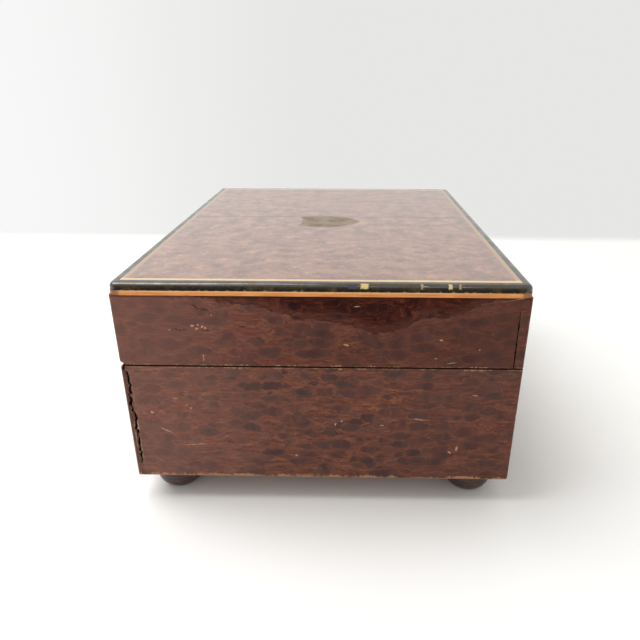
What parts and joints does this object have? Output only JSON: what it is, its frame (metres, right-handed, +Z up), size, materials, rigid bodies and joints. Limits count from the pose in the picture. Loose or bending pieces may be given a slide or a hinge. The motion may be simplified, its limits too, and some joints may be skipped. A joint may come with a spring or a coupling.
{
  "type": "cylinder music box",
  "caption": "Small burl-veneered cylinder music box with a hinged lid, bun feet, underside winding key, pinned cylinder, tuned comb and air-brake governor.",
  "frame": {"origin": "centre of the case, on the surface the feet stand on", "axes": "+X along the case's length, front towards -Y, +Z up"},
  "size_m": [0.148, 0.118, 0.0742],
  "materials": {
    "burl_veneer": "old varnish over red-brown burl figure",
    "plain_wood": "bare softwood",
    "turned_wood": "dark stain, worn",
    "ebonised_wood": "polished black, worn edges",
    "boxwood": "varnished pale stringing",
    "nickel_silver": "tarnished",
    "card": "aged card",
    "brass": "aged lacquered brass",
    "steel": "polished steel",
    "blued_steel": "heat-blued",
    "lead": "dull grey",
    "garnet": "polished stone"
  },
  "bodies": {
    "case": {"case_front": "burl_veneer", "case_back": "burl_veneer", "case_left_end": "burl_veneer", "case_right_end": "burl_veneer", "case_floor": "plain_wood", "bun_feet": "turned_wood", "hinge_case_leaves": "brass", "hinge_pins": "brass", "hinge_case_screws": "brass", "bedplate": "brass", "bed_pillars": "brass", "bed_screws": "blued_steel", "bedplate_screws": "blued_steel", "barrel_bridge": "brass", "click_spring": "blued_steel", "cylinder_bridges": "brass", "comb_base": "brass", "comb": "steel", "comb_leads": "lead", "comb_screws": "blued_steel", "governor_plates": "brass", "governor_cock": "brass", "endstone": "garnet", "endstone_plate": "steel", "pivot_posts": "steel"},
    "lid": {"hinge_lid_leaves": "brass", "hinge_lid_screws": "brass", "lid_front_rail": "burl_veneer", "lid_back_rail": "burl_veneer", "lid_left_rail": "burl_veneer", "lid_right_rail": "burl_veneer", "lid_top_board": "burl_veneer", "lid_edge_moulding": "ebonised_wood", "lid_side_stringing": "boxwood", "lid_top_stringing": "boxwood", "lid_shield": "nickel_silver", "tune_card": "card", "tune_card_tacks": "brass"},
    "train_arbor": {"cylinder_arbor": "steel", "drive_pinion": "steel", "great_wheel": "brass", "tune_snail": "steel"},
    "cylinder": {"cylinder_tube": "brass", "cylinder_caps": "brass", "cylinder_pins": "steel"},
    "barrel": {"barrel_drum": "brass", "barrel_cover": "brass", "mainspring": "steel"},
    "winding": {"winding_arbor": "steel", "winding_key": "brass", "ratchet_wheel": "steel"},
    "click": {"ratchet_click": "steel"},
    "governor_first": {"first_arbor": "steel", "first_wheel": "brass"},
    "governor_second": {"second_arbor": "steel", "worm_wheel": "brass"},
    "air_brake": {"endless_screw": "steel", "fly": "brass"},
    "stop": {"stop_lever": "steel"},
    "change": {"change_lever": "steel"}
  },
  "joints": [
    {"name": "lid_hinge", "type": "hinge", "parent": "case", "child": "lid", "pos_m": [0, 0.058, 0.0486], "axis": [-1, 0, 0], "range_deg": [0, 100]},
    {"name": "cylinder_spin", "type": "hinge", "parent": "case", "child": "train_arbor", "pos_m": [0, 0.008, 0.0386], "axis": [1, 0, 0], "continuous": true},
    {"name": "cylinder_shift", "type": "slide", "parent": "train_arbor", "child": "cylinder", "axis": [-1, 0, 0], "range_m": [0, 0.0009]},
    {"name": "barrel_spin", "type": "hinge", "parent": "case", "child": "barrel", "pos_m": [-0.049, 0.008, 0.028], "axis": [0, 0, 1], "continuous": true},
    {"name": "key_turn", "type": "hinge", "parent": "case", "child": "winding", "pos_m": [-0.049, 0.008, 0.028], "axis": [0, 0, 1], "continuous": true},
    {"name": "click_lift", "type": "hinge", "parent": "case", "child": "click", "pos_m": [-0.049, 0.0215, 0.0385], "axis": [0, 0, 1], "range_deg": [0, 8], "stiffness_Nm_per_rad": 0.002},
    {"name": "governor_first_spin", "type": "hinge", "parent": "case", "child": "governor_first", "pos_m": [0.05, 0.02708, 0.0326], "axis": [1, 0, 0], "continuous": true},
    {"name": "governor_second_spin", "type": "hinge", "parent": "case", "child": "governor_second", "pos_m": [0.05, 0.04008, 0.0303], "axis": [1, 0, 0], "continuous": true},
    {"name": "fly_spin", "type": "hinge", "parent": "case", "child": "air_brake", "pos_m": [0.0475, 0.03308, 0.0423], "axis": [0, 0, 1], "continuous": true},
    {"name": "stop_lever_swing", "type": "hinge", "parent": "case", "child": "stop", "pos_m": [0.0575, -0.008, 0.045], "axis": [0, 0, -1], "range_deg": [0, 6]},
    {"name": "change_lever_swing", "type": "hinge", "parent": "case", "child": "change", "pos_m": [0.046, -0.022, 0.0405], "axis": [0, 0, 1], "range_deg": [0, 5]}
  ],
  "couplings": [
    {"joint": "barrel_spin", "follows": "cylinder_spin", "ratio": 0.35714},
    {"joint": "governor_first_spin", "follows": "cylinder_spin", "ratio": -4},
    {"joint": "governor_second_spin", "follows": "cylinder_spin", "ratio": 12.5},
    {"joint": "fly_spin", "follows": "cylinder_spin", "ratio": 125}
  ]
}
